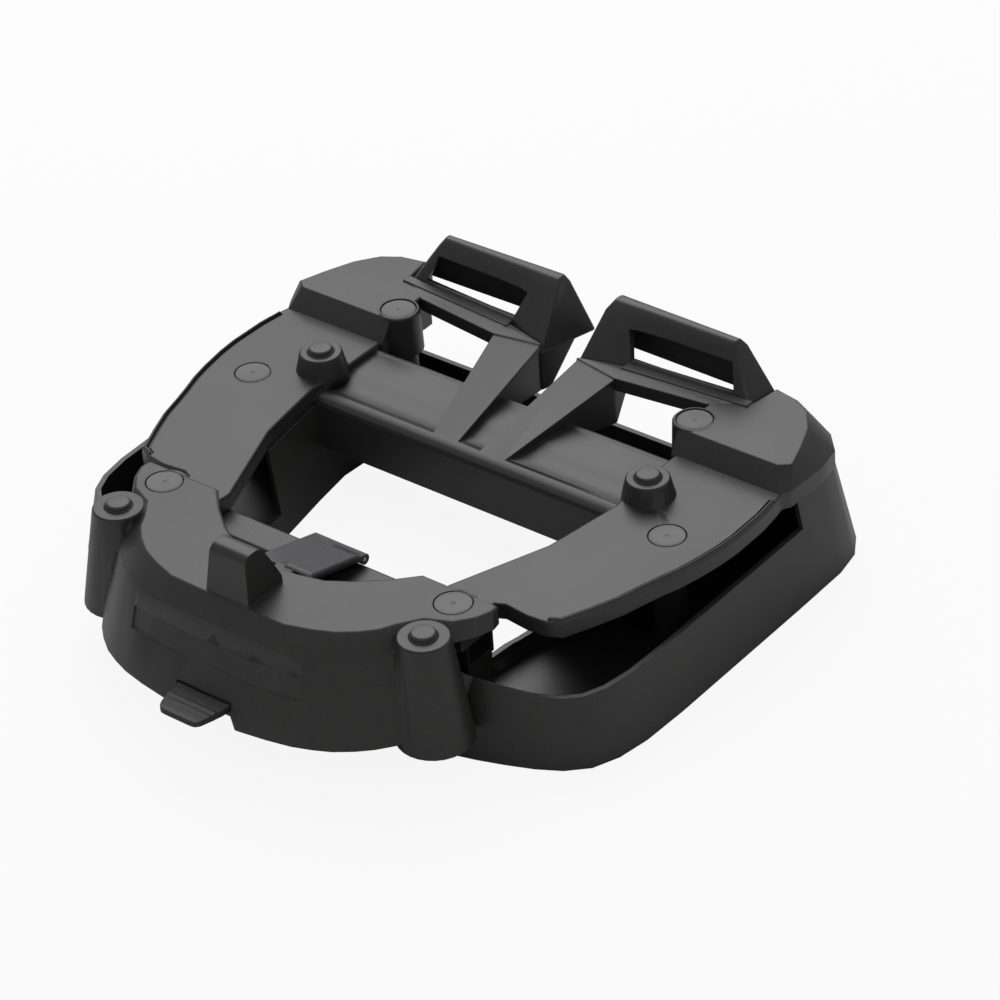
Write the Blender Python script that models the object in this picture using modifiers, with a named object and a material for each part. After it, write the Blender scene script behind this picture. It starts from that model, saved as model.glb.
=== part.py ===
"""Top case mounting plate: the plate that a motorbike's top case clips on to.

Metres, +Z up, +Y towards the rear.  The origin lies on the face that the plate rests on, in the
middle of its outline.  Each moulding is one half, mirrored in the plane X = 0.
"""
import bmesh
import bpy
import numpy as np
from math import cos, pi, radians, sin, tan
from mathutils import Matrix

for item in list(bpy.data.objects):
    bpy.data.objects.remove(item, do_unlink=True)

# Overall
HALF_WIDTH = 0.174
REAR_Y = 0.177
FRONT_Y = -0.170
WALL = 0.003
CLEARANCE = 0.0003
SEGMENTS = 28

# Levels
NOSE_FOOT = 0.022
POST_FOOT = 0.0175
LOW_WALL_TOP = 0.037
INNER_LOW_TOP = 0.014
ARM_TOP = 0.062
DECK_TOP = 0.0738
SHOULDER_DROP = 0.0098
LIP_DEPTH = 0.009
EDGE_ROUND = 0.0012

# Base walls
SIDE_FLARE = radians(12.0)
SEAM_Y = -0.0597
OPENING_FRONT_Y = -0.088
OPENING_REAR_Y = 0.1150
OPENING_CORNER = 0.026
PANEL_FRONT_Y = 0.004
REAR_WALL_Y = 0.164
REAR_WALL_HEIGHT = 0.0175
COLUMN_INNER_X = 0.130
RECESS_LOW = 0.0442
RECESS_HIGH = 0.0552
RECESS_DEPTH = 0.0008

# Passages for the two legs of a lock, the sleeve round the front one and the beam over the rear one
LEG_SIZE = 0.0165
SLEEVE_WALL = 0.0018
SLEEVE_ROUND = 0.0030
SLEEVE_Y = -0.055
SLEEVE_GAP = 0.0007
SLEEVE_LOW = ARM_TOP - LIP_DEPTH - SLEEVE_GAP - SLEEVE_WALL - LEG_SIZE
SLEEVE_END_X = 0.0950
REAR_LEG_Y = 0.085
BEAM_FRONT_Y = 0.050
BEAM_REAR_Y = 0.104
BEAM_TOP = 0.058
BEAM_FOOT = 0.027
BEAM_REAR_FOOT = 0.044

# Nose posts, studs and rubber buffers
NOSE_POST = (0.0971, -0.0975)
NOSE_POST_FOOT = (0.1010, -0.0990)
NOSE_POST_RADIUS = 0.0133
NOSE_POST_HEIGHT = 0.0120
NOSE_POST_FOOT_RADIUS = 0.0195
STUD = (0.1059, 0.0682)
STUD_HEIGHT = 0.0106
STUD_RADIUS = 0.01145
STUD_FOOT_RADIUS = 0.01375
BUFFER_RADIUS = 0.0070
BUFFER_SEAT_DEPTH = 0.003
BUFFER_STANDS = 0.0028

# Screws and caps
ARM_SCREW = (0.1341, 0.0450)
DECK_SCREW = (0.0964, 0.1211)
NOSE_SCREW = (0.0922, -0.0689)
DECK_POST_RADIUS = 0.0115
CAP_RADIUS = 0.0095
CAP_THICKNESS = 0.0022
CAP_PLUG_LENGTH = 0.0012
SCREW_HEAD_RADIUS = 0.0055
SCREW_HEAD_HEIGHT = 0.0036
SCREW_RADIUS = 0.0029
SCREW_LENGTH = 0.020
DRIVE_RADIUS = 0.0020
DRIVE_DEPTH = 0.0018
HEAD_DEPTH = 0.0080
HEAD_FLOOR = 0.0040
COVER_BOSS_FOOT = ARM_TOP - HEAD_DEPTH - HEAD_FLOOR
BOSS_RADIUS = 0.0085
BORE_FOOT = 0.0240

# Hooks, rail and fins
HOOK_TOP = 0.0984
HOOK_REAR_Y = 0.168
HOOK_FOOT = 0.068
HOOK_SHOULDER = 0.0945
HOOK_WINDOW_LOW = 0.0752
HOOK_WINDOW_HIGH = 0.0890
RAIL_THICKNESS = 0.0075
RAIL_STEP = 0.0010
FIN_FRONT_Y = 0.057
FIN_FOOT = 0.046
FIN_REAR_FOOT = 0.0658
DECK_FOOT = 0.0525
TONGUE_TOP = 0.0614

# Catch block
CATCH_HALF_WIDTH = 0.0135
CATCH_TOP_HALF_WIDTH = 0.0110
CATCH_FRONT_Y = -0.1265
CATCH_REAR_Y = -0.1010
CATCH_HEIGHT = 0.0255

# Retaining strap and its pin
STRAP_WIDTH = 0.0330
STRAP_THICKNESS = 0.0030
STRAP_FRONT_Y = -0.0850
STRAP_FRONT_TOP = 0.0682
PIN_BEHIND = 0.00175
PIN_RISE = 0.0025
PIN_Y = SLEEVE_Y + LEG_SIZE / 2 + PIN_BEHIND
PIN_Z = SLEEVE_LOW + LEG_SIZE + SLEEVE_WALL + PIN_RISE
PIN_RADIUS = 0.0011
KNUCKLE_RADIUS = 0.0029
LUG_RADIUS = 0.0020
LUG_HALF_WIDTH = 0.0060
TONGUE_HALF_WIDTH = 0.0058
TONGUE_TIP_Y = -0.0975

# Release tab
TAB_WIDTH = 0.0260
TAB_ROOT_WIDTH = 0.0340
TAB_THICKNESS = 0.0037
TAB_INNER_Y = -0.1300
TAB_LOW = 0.0282
TAB_TRAVEL = 0.0060
NOTCH_SPREAD = 0.0060
NOTCH_REAR_Y = -0.1470


def collection(name):
    made = bpy.data.collections.new(name)
    bpy.context.scene.collection.children.link(made)
    return made


PARTS = collection("top_case_mounting_plate")
CUTTERS = collection("cutters")


def material(name, colour, roughness, metallic=0.0):
    made = bpy.data.materials.new(name)
    made.use_nodes = True
    shader = made.node_tree.nodes["Principled BSDF"]
    shader.inputs["Base Color"].default_value = (*colour, 1.0)
    shader.inputs["Roughness"].default_value = roughness
    shader.inputs["Metallic"].default_value = metallic
    return made


def place(made, home):
    home.objects.link(made)
    if home is CUTTERS:
        made.hide_render = True
        made.display_type = "WIRE"
    return made


def loft(name, rings, home=CUTTERS):
    """Joins closed rings of equally many points, closes both ends and splits what isn't flat."""
    shape = bmesh.new()
    made = [[shape.verts.new(point) for point in ring] for ring in rings]
    count = len(rings[0])
    for lower, upper in zip(made, made[1:]):
        for i in range(count):
            j = (i + 1) % count
            shape.faces.new((lower[i], lower[j], upper[j], upper[i]))
    shape.faces.new(made[0][::-1])
    shape.faces.new(made[-1])
    bmesh.ops.recalc_face_normals(shape, faces=shape.faces)
    bmesh.ops.connect_verts_nonplanar(shape, angle_limit=radians(0.01), faces=shape.faces)
    return from_bmesh(name, shape, home)


def level(outline, z):
    return [(x, y, z) for x, y in outline]


def inset(outline, distance):
    """Moves every side of a closed outline inwards, or outwards where distance is negative."""
    points = np.array(outline, dtype=float)
    ahead = np.roll(points, -1, axis=0) - points
    ahead /= np.linalg.norm(ahead, axis=1)[:, None]
    area = np.sum(points[:, 0] * np.roll(points[:, 1], -1) - np.roll(points[:, 0], -1) * points[:, 1])
    normal = np.stack([-ahead[:, 1], ahead[:, 0]], axis=1) * np.sign(area)
    corner = normal + np.roll(normal, 1, axis=0)
    corner /= np.maximum(np.sum(corner * normal, axis=1), 0.5)[:, None]
    return [tuple(point) for point in points + corner * distance]


def prism(name, outline, profile, home=CUTTERS):
    """An outline carried up a profile of (inset, z) pairs."""
    return loft(name, [level(inset(outline, d), z) for d, z in profile], home)


def extrude_x(name, outline, x_from, x_to, home=CUTTERS):
    """An outline of (y, z) pairs carried along X."""
    return loft(name, [[(x, y, z) for y, z in outline] for x in (x_from, x_to)], home)


def from_bmesh(name, shape, home):
    mesh = bpy.data.meshes.new(name)
    shape.to_mesh(mesh)
    shape.free()
    return place(bpy.data.objects.new(name, mesh), home)


def box(name, x, y, z, home=CUTTERS):
    """A block between two values on each axis."""
    shape = bmesh.new()
    size = Matrix.Diagonal((x[1] - x[0], y[1] - y[0], z[1] - z[0], 1.0))
    middle = Matrix.Translation(((x[0] + x[1]) / 2, (y[0] + y[1]) / 2, (z[0] + z[1]) / 2))
    bmesh.ops.create_cube(shape, size=1.0, matrix=middle @ size)
    return from_bmesh(name, shape, home)


def cone(name, centre, low_radius, high_radius, low, high, home=CUTTERS):
    """A round post or hole on an upright axis."""
    shape = bmesh.new()
    bmesh.ops.create_cone(
        shape, cap_ends=True, segments=SEGMENTS, radius1=low_radius, radius2=high_radius, depth=high - low,
        matrix=Matrix.Translation((centre[0], centre[1], (low + high) / 2)))
    return from_bmesh(name, shape, home)


def rod_x(name, y, z, radius, x_from, x_to, home=CUTTERS):
    """A round rod or hole on an axis along X."""
    shape = bmesh.new()
    bmesh.ops.create_cone(
        shape, cap_ends=True, segments=SEGMENTS // 2, radius1=radius, radius2=radius, depth=x_to - x_from,
        matrix=Matrix.Translation(((x_from + x_to) / 2, y, z)) @ Matrix.Rotation(pi / 2, 4, "Y"))
    return from_bmesh(name, shape, home)


def circle(centre, radius, z):
    turns = [2.0 * pi * i / SEGMENTS for i in range(SEGMENTS)]
    return [(centre[0] + radius * cos(a), centre[1] + radius * sin(a), z) for a in turns]


def post(name, steps, home=CUTTERS):
    """A round post, where steps are (centre, radius, z) from foot to top."""
    return loft(name, [circle(*step) for step in steps], home)


def arc(centre, radius, start, end, count):
    """Points on an arc in a plane, from one angle in degrees to another."""
    angles = [radians(start + (end - start) * i / count) for i in range(count + 1)]
    return [(centre[0] + radius * cos(a), centre[1] + radius * sin(a)) for a in angles]


def boolean(target, other, operation):
    change = target.modifiers.new(operation.lower() + " " + other.name, "BOOLEAN")
    change.operation = operation
    change.object = other
    change.solver = "EXACT"


def add(target, *others):
    for other in others:
        boolean(target, other, "UNION")


def cut(target, *others):
    for other in others:
        boolean(target, other, "DIFFERENCE")


def soften(target, width, segments, angle=30.0):
    change = target.modifiers.new("rounded edges", "BEVEL")
    change.width = width
    change.segments = segments
    change.limit_method = "ANGLE"
    change.angle_limit = radians(angle)


def mirror_x(target):
    change = target.modifiers.new("other half", "MIRROR")
    change.use_axis[0] = True
    change.use_bisect_axis[0] = True
    change.merge_threshold = 0.00005


def origin_at(target, point):
    """Moves an object's origin to a point, such as one on its joint's axis, and its mesh back."""
    target.data.transform(Matrix.Translation([-value for value in point]))
    target.location = point


def turned(name, profile, location, home=PARTS):
    """A turned piece: (radius, z) pairs from the middle of its top, down its side, to its foot."""
    mesh = bpy.data.meshes.new(name)
    points = [(radius, 0.0, z) for radius, z in profile]
    mesh.from_pydata(points, [(i, i + 1) for i in range(len(points) - 1)], [])
    made = place(bpy.data.objects.new(name, mesh), home)
    made.location = location
    screw = made.modifiers.new("turn", "SCREW")
    screw.axis = "Z"
    screw.steps = SEGMENTS
    screw.render_steps = SEGMENTS
    screw.use_merge_vertices = True
    screw.merge_threshold = 0.00001
    screw.use_smooth_shade = True
    return made


def both(half):
    """A half outline that starts and ends on the middle plane, with its mirror image."""
    return half + [(-x, y) for x, y in reversed(half) if abs(x) > 1e-9]


# The nose, at its top, at the foot of its shoulder and at its own foot
NOSE_INNER_EDGE = [
    (0.0660, SEAM_Y), (0.0540, -0.0720), (0.0410, -0.0820), (0.0290, -0.0890), (0.0140, -0.0925),
    (0.0000, -0.0930)]
NOSE_TOP_HALF = [
    (0.0000, -0.1270), (0.0200, -0.1270), (0.0360, -0.1268), (0.0500, -0.1225), (0.0600, -0.1180),
    (0.0690, -0.1115), (0.0760, -0.1045), (0.0800, -0.0970), (0.0880, -0.0860), (0.1010, -0.0805),
    (0.1080, -0.0720), (0.1110, -0.0640), (0.1100, SEAM_Y)] + NOSE_INNER_EDGE
NOSE_SHOULDER_HALF = [
    (0.0000, -0.1360), (0.0220, -0.1360), (0.0400, -0.1358), (0.0530, -0.1340), (0.0630, -0.1300),
    (0.0720, -0.1240), (0.0800, -0.1170), (0.0860, -0.1100), (0.0960, -0.0980), (0.1040, -0.0830),
    (0.1100, -0.0740), (0.1130, -0.0650), (0.1120, SEAM_Y)] + NOSE_INNER_EDGE
NOSE_FOOT_HALF = [
    (0.0000, -0.1545), (0.0240, -0.1538), (0.0400, -0.1514), (0.0530, -0.1486), (0.0630, -0.1450),
    (0.0720, -0.1408), (0.0810, -0.1344), (0.0880, -0.1280), (0.1000, -0.1130), (0.1100, -0.0900),
    (0.1140, -0.0760), (0.1150, -0.0660), (0.1140, SEAM_Y)] + NOSE_INNER_EDGE
SHOULDER_Z = DECK_TOP - SHOULDER_DROP

# The side of the base, at its foot: outer face from the nose post round to the rear, then inner face
SIDE_OUTER = [
    (0.1000, -0.0900), (0.1140, -0.0862), (0.1280, -0.0815), (0.1420, -0.0760), (0.1540, -0.0695),
    (0.1640, -0.0600), (0.1700, -0.0460), (0.1730, -0.0280), (HALF_WIDTH, 0.0000),
    (HALF_WIDTH, 0.1000), (0.1735, 0.1370), (0.1705, 0.1540), (0.1625, 0.1672), (0.1480, 0.1748),
    (COLUMN_INNER_X + 0.006, REAR_Y), (COLUMN_INNER_X, REAR_Y)]
SIDE_INNER = [
    (COLUMN_INNER_X, 0.1500), (0.1180, 0.1180), (0.0920, 0.1000), (0.0940, 0.0650), (0.0900, 0.0400),
    (0.0840, 0.0090), (0.0810, -0.0120), (0.0790, -0.0400), (0.0830, -0.0850)]
SIDE_INNER_TOP = [
    (COLUMN_INNER_X, 0.1500), (0.1200, 0.1180), (0.0950, 0.1000), (0.0970, 0.0650), (0.0960, 0.0400),
    (0.0910, 0.0090), (0.0860, -0.0120), (0.0790, -0.0400), (0.0830, -0.0850)]


def side_ring(thickness, z):
    """The side of the base at height z: its outer face leans in by the flare, its inner face out."""
    share = z / ARM_TOP
    inner = [(a[0] + share * (b[0] - a[0]), a[1]) for a, b in zip(SIDE_INNER, SIDE_INNER_TOP)]
    lean = z * tan(SIDE_FLARE)
    whole = inset(SIDE_OUTER + SIDE_INNER, lean)[1:len(SIDE_OUTER) - 1]
    first = (SIDE_OUTER[0][0], SIDE_OUTER[0][1])
    last = (COLUMN_INNER_X, REAR_Y - lean)
    return level(inset([first] + whole + [last] + inner, thickness), z)


def opening_outline(front_y, rear_y, low_z, high_z, corner):
    """A side opening seen along X, with a round front lower corner."""
    round_part = arc((front_y + corner, low_z + corner), corner, 180.0, 270.0, 8)
    return round_part + [(rear_y, low_z), (rear_y, high_z), (front_y, high_z)]


def build_side():
    top = DECK_FOOT - CLEARANCE
    side = loft("side", [side_ring(0.0, 0.0), side_ring(0.0, top)])
    cut(side, loft("side_hollow", [side_ring(WALL, WALL), side_ring(WALL, ARM_TOP + WALL)]))
    outer_x = 0.104
    cut(side, extrude_x("side_opening", opening_outline(
        OPENING_FRONT_Y, OPENING_REAR_Y, LOW_WALL_TOP, ARM_TOP + WALL, OPENING_CORNER),
        outer_x, HALF_WIDTH + WALL))
    cut(side, box("above_inner_wall", (0.070, outer_x + 0.001), (-0.0950, PANEL_FRONT_Y),
                  (INNER_LOW_TOP, ARM_TOP + 2 * WALL)))
    cut(side, box("rear_leg_passage", (0.072, outer_x + 0.003),
                  (REAR_LEG_Y - LEG_SIZE / 2, REAR_LEG_Y + LEG_SIZE / 2),
                  (SLEEVE_LOW, SLEEVE_LOW + LEG_SIZE)))
    return side


def nose_wall(index, z, out):
    """A point on the nose's front wall at height z, moved out of the wall by a distance."""
    share = (SHOULDER_Z - z) / (SHOULDER_Z - NOSE_FOOT)
    upper = np.array(NOSE_SHOULDER_HALF[index])
    point = upper + share * (np.array(NOSE_FOOT_HALF[index]) - upper)
    return (point[0], point[1] - out, z)


def name_recess():
    """A shallow pocket that follows the front wall; nothing is written in it."""
    indices = range(4)
    rings = []
    for z in (RECESS_LOW, RECESS_HIGH):
        front = [nose_wall(i, z, 0.004) for i in indices]
        back = [nose_wall(i, z, -RECESS_DEPTH) for i in indices]
        front[0] = (-0.002, front[0][1], z)
        back[0] = (-0.002, back[0][1], z)
        rings.append(front + back[::-1])
    return loft("name_recess", rings)


def build_base():
    foot, shoulder, top = both(NOSE_FOOT_HALF), both(NOSE_SHOULDER_HALF), both(NOSE_TOP_HALF)
    base = loft("base_shell", [
        level(foot, NOSE_FOOT), level(shoulder, SHOULDER_Z),
        level(inset(top, -EDGE_ROUND), DECK_TOP - EDGE_ROUND),
        level(inset(top, -EDGE_ROUND * 0.3), DECK_TOP - EDGE_ROUND * 0.3),
        level(inset(top, EDGE_ROUND * 0.7), DECK_TOP)], PARTS)
    cut(base, loft("nose_hollow", [
        level(inset(foot, WALL), NOSE_FOOT + WALL), level(inset(shoulder, WALL), SHOULDER_Z),
        level(inset(top, WALL), DECK_TOP - WALL)]))
    cut(base, prism("nose_mouth", both([
        (0.0000, -0.1060), (0.0300, -0.1020), (0.0600, -0.0900), (0.1080, -0.0700),
        (0.1080, -0.0400), (0.0000, -0.0400)]), [(0.0, NOSE_FOOT + WALL), (0.0, SHOULDER_Z)]))
    cut(base, box("nose_side_opening", (0.0965, 0.130), (-0.0870, SEAM_Y + 0.02),
                  (NOSE_FOOT - 0.002, SHOULDER_Z)))
    cut(base, name_recess())

    add(base, build_side())
    floor_side, floor_rear = COLUMN_INNER_X + WALL / 2, REAR_WALL_Y - WALL / 2
    floor = prism("rear_floor", [(-0.010, 0.100), (0.093, 0.100), (0.119, 0.118), (floor_side, 0.150),
                                 (floor_side, floor_rear), (-0.010, floor_rear)], [(0.0, 0.0), (0.0, WALL)])
    rear_wall = box("rear_wall", (-0.008, floor_side), (REAR_WALL_Y - WALL, REAR_WALL_Y),
                    (0.0, REAR_WALL_HEIGHT))
    add(base, floor, rear_wall)

    low, high = SLEEVE_LOW - SLEEVE_WALL, SLEEVE_LOW + LEG_SIZE + SLEEVE_WALL
    half = LEG_SIZE / 2 + SLEEVE_WALL
    front, rear = SLEEVE_Y - half, SLEEVE_Y + half
    sleeve_outline = ([(front, low), (rear, low)]
                      + arc((rear - SLEEVE_ROUND, high - SLEEVE_ROUND), SLEEVE_ROUND, 0, 90, 4)
                      + arc((front + SLEEVE_ROUND, high - SLEEVE_ROUND), SLEEVE_ROUND, 90, 180, 4))
    sleeve = extrude_x("sleeve", sleeve_outline, -0.006, SLEEVE_END_X)
    sleeve_foot = box("sleeve_foot", (0.083, SLEEVE_END_X - 0.0005), (front + 0.001, rear - 0.001),
                      (WALL / 2, low + SLEEVE_WALL / 2))
    add(base, sleeve, sleeve_foot)
    lug = extrude_x("lug", arc((PIN_Y, PIN_Z), LUG_RADIUS, 0, 180, 10)
                    + [(PIN_Y - LUG_RADIUS, high - SLEEVE_WALL / 2), (rear - SLEEVE_WALL / 2, high - 0.0040),
                       (PIN_Y + LUG_RADIUS, high + 0.0004)], -0.004, LUG_HALF_WIDTH)
    add(base, lug)
    cut(base, box("front_leg_passage", (-0.012, 0.130), (SLEEVE_Y - LEG_SIZE / 2, SLEEVE_Y + LEG_SIZE / 2),
                  (SLEEVE_LOW, SLEEVE_LOW + LEG_SIZE)))
    cut(base, rod_x("pin_bore", PIN_Y, PIN_Z, PIN_RADIUS + CLEARANCE, -0.012, LUG_HALF_WIDTH + 0.002))

    post_top = ARM_TOP + NOSE_POST_HEIGHT
    add(base, post("nose_post", [
        (NOSE_POST_FOOT, NOSE_POST_FOOT_RADIUS, POST_FOOT), (NOSE_POST, NOSE_POST_RADIUS, post_top - 0.001),
        (NOSE_POST, NOSE_POST_RADIUS - 0.0008, post_top)]))
    cut(base, post("nose_buffer_seat", [
        (NOSE_POST, BUFFER_RADIUS + CLEARANCE, post_top - BUFFER_SEAT_DEPTH),
        (NOSE_POST, BUFFER_RADIUS + CLEARANCE, post_top + 0.001),
        (NOSE_POST, BUFFER_RADIUS + 0.0025, post_top + 0.003)]))

    for name, centre in (("arm_boss", ARM_SCREW), ("deck_boss", DECK_SCREW)):
        add(base, cone(name, centre, BOSS_RADIUS + 0.001, BOSS_RADIUS, WALL / 2, COVER_BOSS_FOOT - CLEARANCE))
        cut(base, hole(name + "_bore", centre, SCREW_RADIUS, BORE_FOOT, COVER_BOSS_FOOT + 0.01))
    boss_foot = ARM_TOP + CLEARANCE
    ring = CAP_RADIUS + WALL
    add(base, cone("nose_boss", NOSE_SCREW, ring, ring, boss_foot, DECK_TOP - EDGE_ROUND))
    cap_seat(base, NOSE_SCREW, DECK_TOP, DECK_TOP - HEAD_DEPTH, boss_foot - 0.002, "nose")

    add(base, catch_block())
    cut(base, box("tongue_slot", (-0.010, TONGUE_HALF_WIDTH + 0.001), (TONGUE_TIP_Y - 0.009, -0.0900),
                  (0.0600, 0.0830)))
    slot_top, slot_foot = TAB_ROOT_WIDTH / 2 + CLEARANCE, TAB_ROOT_WIDTH / 2 + NOTCH_SPREAD
    notch_top = TAB_LOW + TAB_THICKNESS + 0.001
    cut(base, loft("tab_notch", [
        [(-0.010, y, NOSE_FOOT - 0.001), (slot_foot, y, NOSE_FOOT - 0.001), (slot_top, y, TAB_LOW),
         (slot_top, y, notch_top), (-0.010, y, notch_top)] for y in (-0.175, NOTCH_REAR_Y)]))
    add(base, box("tab_bed", (-0.010, TAB_ROOT_WIDTH / 2 - 0.002),
                  (NOTCH_REAR_Y - 0.001, TAB_INNER_Y + TAB_TRAVEL + 0.004),
                  (NOSE_FOOT + WALL / 2, TAB_LOW - CLEARANCE)))
    mirror_x(base)
    base.data.materials.append(material("moulded base", (0.020, 0.021, 0.020), 0.46))
    return base


def hole(name, centre, radius, low, high):
    """A straight hole that leaves the named clearance round what goes into it."""
    return cone(name, centre, radius + CLEARANCE, radius + CLEARANCE, low, high)


def cap_seat(target, centre, top, seat, bottom, name):
    """The round seat of a cap, the counterbore of the screw's head and the hole of its shank."""
    cap_foot = top - CAP_THICKNESS - CLEARANCE
    cut(target, hole(name + "_cap_seat", centre, CAP_RADIUS, cap_foot, top + 0.004))
    cut(target, hole(name + "_head_seat", centre, SCREW_HEAD_RADIUS, seat, cap_foot + 0.001))
    cut(target, hole(name + "_hole", centre, SCREW_RADIUS, bottom, seat + 0.001))


def catch_block():
    """A block with a slightly leaning front and a rounded top, lofted across its width."""
    high = DECK_TOP + CATCH_HEIGHT
    low = DECK_TOP - WALL / 2
    depth = CATCH_REAR_Y - CATCH_FRONT_Y
    rear_round, front_round = min(0.0060, 0.24 * depth), min(0.0050, 0.20 * depth)
    waist_y = CATCH_REAR_Y - 0.176471 * depth
    rear_turn = (CATCH_FRONT_Y + 0.450980 * depth, high - rear_round)
    front_turn = (CATCH_FRONT_Y + 0.313725 * depth, high - front_round)
    side_view = ([(CATCH_FRONT_Y, low), (CATCH_REAR_Y, low), (CATCH_REAR_Y, DECK_TOP + 0.004)]
                 + [(waist_y, DECK_TOP + 0.014)]
                 + arc(rear_turn, rear_round, 25, 90, 4) + arc(front_turn, front_round, 95, 170, 4))
    share = [min(1.0, (z - low) / (high - low)) for _, z in side_view]
    edge = [CATCH_HALF_WIDTH + s * (CATCH_TOP_HALF_WIDTH - CATCH_HALF_WIDTH) for s in share]
    return loft("catch_block", [[(-0.004, y, z) for y, z in side_view],
                                [(x, y, z) for x, (y, z) in zip(edge, side_view)]])


# The deck cover: the arm's outline at its top face, and the rear wing at three levels
ARM_OUTER = [
    (0.0980, -0.0460), (0.1030, -0.0435), (0.1170, -0.0450), (0.1280, -0.0440), (0.1350, -0.0405),
    (0.1420, -0.0250), (0.1480, -0.0100), (0.1520, 0.0050), (0.1550, 0.0150), (0.1580, 0.0240),
    (0.1605, 0.0350), (0.1630, 0.0500), (0.1640, 0.0620), (0.1637, 0.0840), (0.1620, 0.0980),
    (0.1603, 0.1065)]
ARM_INNER = [
    (0.0960, 0.1065), (0.0960, 0.0640), (0.0975, 0.0520), (0.0905, 0.0070), (0.0700, -0.0462),
    (0.0715, SEAM_Y + 0.0010), (0.0980, SEAM_Y + 0.0010)]
RIM_FIRST, RIM_LAST = 3, 15
RIM_WIDTH = 0.0026
RIM_HEIGHT = 0.0012
GROOVE_WIDTH = 0.0013
GROOVE_DEPTH = 0.0010
WING_TOP = [
    (0.0940, 0.1110), (0.1540, 0.1110), (0.1595, 0.1155), (0.1550, 0.1290), (0.1480, 0.1460),
    (0.1390, 0.1580), (0.1290, 0.1640), (0.1150, 0.1667), (0.1118, 0.1462), (0.0945, 0.1452)]
WING_FOOT = [
    (0.0940, 0.1034), (0.1595, 0.1034), (0.1630, 0.1090), (0.1640, 0.1350), (0.1610, 0.1510),
    (0.1510, 0.1620), (0.1360, 0.1700), (0.1165, 0.1735), (0.1118, 0.1462), (0.0945, 0.1452)]
HOOK_FRONT_FOOT = [(0.0110, 0.1330), (0.0390, 0.1415), (0.1130, 0.1470)]
HOOK_INNER_REAR = (0.0010, HOOK_REAR_Y + 0.0010)


def edge_strip(name, first, last, near, far, profile):
    """A strip along the arm's outer edge, between two insets of its outline."""
    outline = ARM_OUTER + ARM_INNER
    outer = inset(outline, near)[first:last]
    inner = inset(outline, far)[first:last]
    return prism(name, outer + inner[::-1], profile)


def build_beam():
    """The beam's section: a hump at its front edge, a dip, a flat, a bead and a rear skirt."""
    y0, top = BEAM_FRONT_Y, BEAM_TOP
    outside = [(y0, BEAM_FOOT), (y0, top - 0.0055), (y0 + 0.0008, top - 0.0030), (y0 + 0.0030, top - 0.0010),
               (y0 + 0.0070, top - 0.0002), (y0 + 0.0120, top - 0.0016), (y0 + 0.0180, top - 0.0024),
               (y0 + 0.0250, top - 0.0016), (y0 + 0.0320, top), (BEAM_REAR_Y - 0.0055, top),
               (BEAM_REAR_Y - 0.0040, top + 0.0010), (BEAM_REAR_Y - 0.0022, top + 0.0010),
               (BEAM_REAR_Y - 0.0005, top - 0.0006), (BEAM_REAR_Y, BEAM_REAR_FOOT)]
    inside = [(BEAM_REAR_Y - WALL, BEAM_REAR_FOOT), (BEAM_REAR_Y - WALL, top - WALL - 0.0015),
              (y0 + WALL, top - WALL - 0.0040), (y0 + WALL, BEAM_FOOT)]
    beam = extrude_x("beam", outside + inside, -0.010, 0.0982)
    cut(beam, box("beam_end_notch", (0.0930, 0.1010), (BEAM_FRONT_Y - WALL, BEAM_REAR_Y + WALL),
                  (BEAM_FOOT - WALL, DECK_FOOT)))
    return beam


def build_fin():
    front_top = BEAM_TOP - 0.0005
    knee = DECK_TOP - 0.0011
    rear = [(0.0117, 0.1352), (HOOK_FRONT_FOOT[1][0] + 0.0006, 0.1425)]
    rings = [
        [(0.0070, FIN_FRONT_Y, front_top - 0.003), (0.0230, FIN_FRONT_Y, front_top - 0.003),
         (0.0230, FIN_FRONT_Y, front_top), (0.0070, FIN_FRONT_Y, front_top)],
        [(0.0120, 0.1335, FIN_FOOT), (0.0394, 0.1290, FIN_FOOT), (0.0394, 0.1290, knee),
         (0.0120, 0.1335, knee)],
        [(0.0119, 0.1342, FIN_FOOT), (0.0396, 0.1305, FIN_FOOT), (0.0396, 0.1305, DECK_TOP),
         (0.0119, 0.1342, DECK_TOP)],
        [(*rear[0], FIN_REAR_FOOT), (*rear[1], FIN_REAR_FOOT), (*rear[1], DECK_TOP), (*rear[0], DECK_TOP)]]
    fin = loft("fin", rings)
    soften(fin, 0.0006, 1, 50.0)
    return fin


def build_web():
    """The wall below the hook's inner end: it carries on the end's slant down to the fin's foot."""
    front_y, top_y, foot_y, top = 0.1335, 0.1550, 0.1390, HOOK_FOOT + 0.0010

    def section(rear_y, z):
        near, far = hook_end_x(front_y), hook_end_x(rear_y)
        return [(near, front_y, z), (near + WALL, front_y, z), (far + WALL, rear_y, z), (far, rear_y, z)]

    return loft("hook_web", [section(foot_y, FIN_FOOT + 0.0005), section(top_y, top)])


def hook_end_x(y):
    """How far from the middle the hook's inner end stands at its foot, with a hair's inset."""
    front_x, front_y = HOOK_FRONT_FOOT[0]
    rear_x, rear_y = HOOK_INNER_REAR
    return front_x + (y - front_y) / (rear_y - front_y) * (rear_x - front_x) + 0.0003


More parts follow.
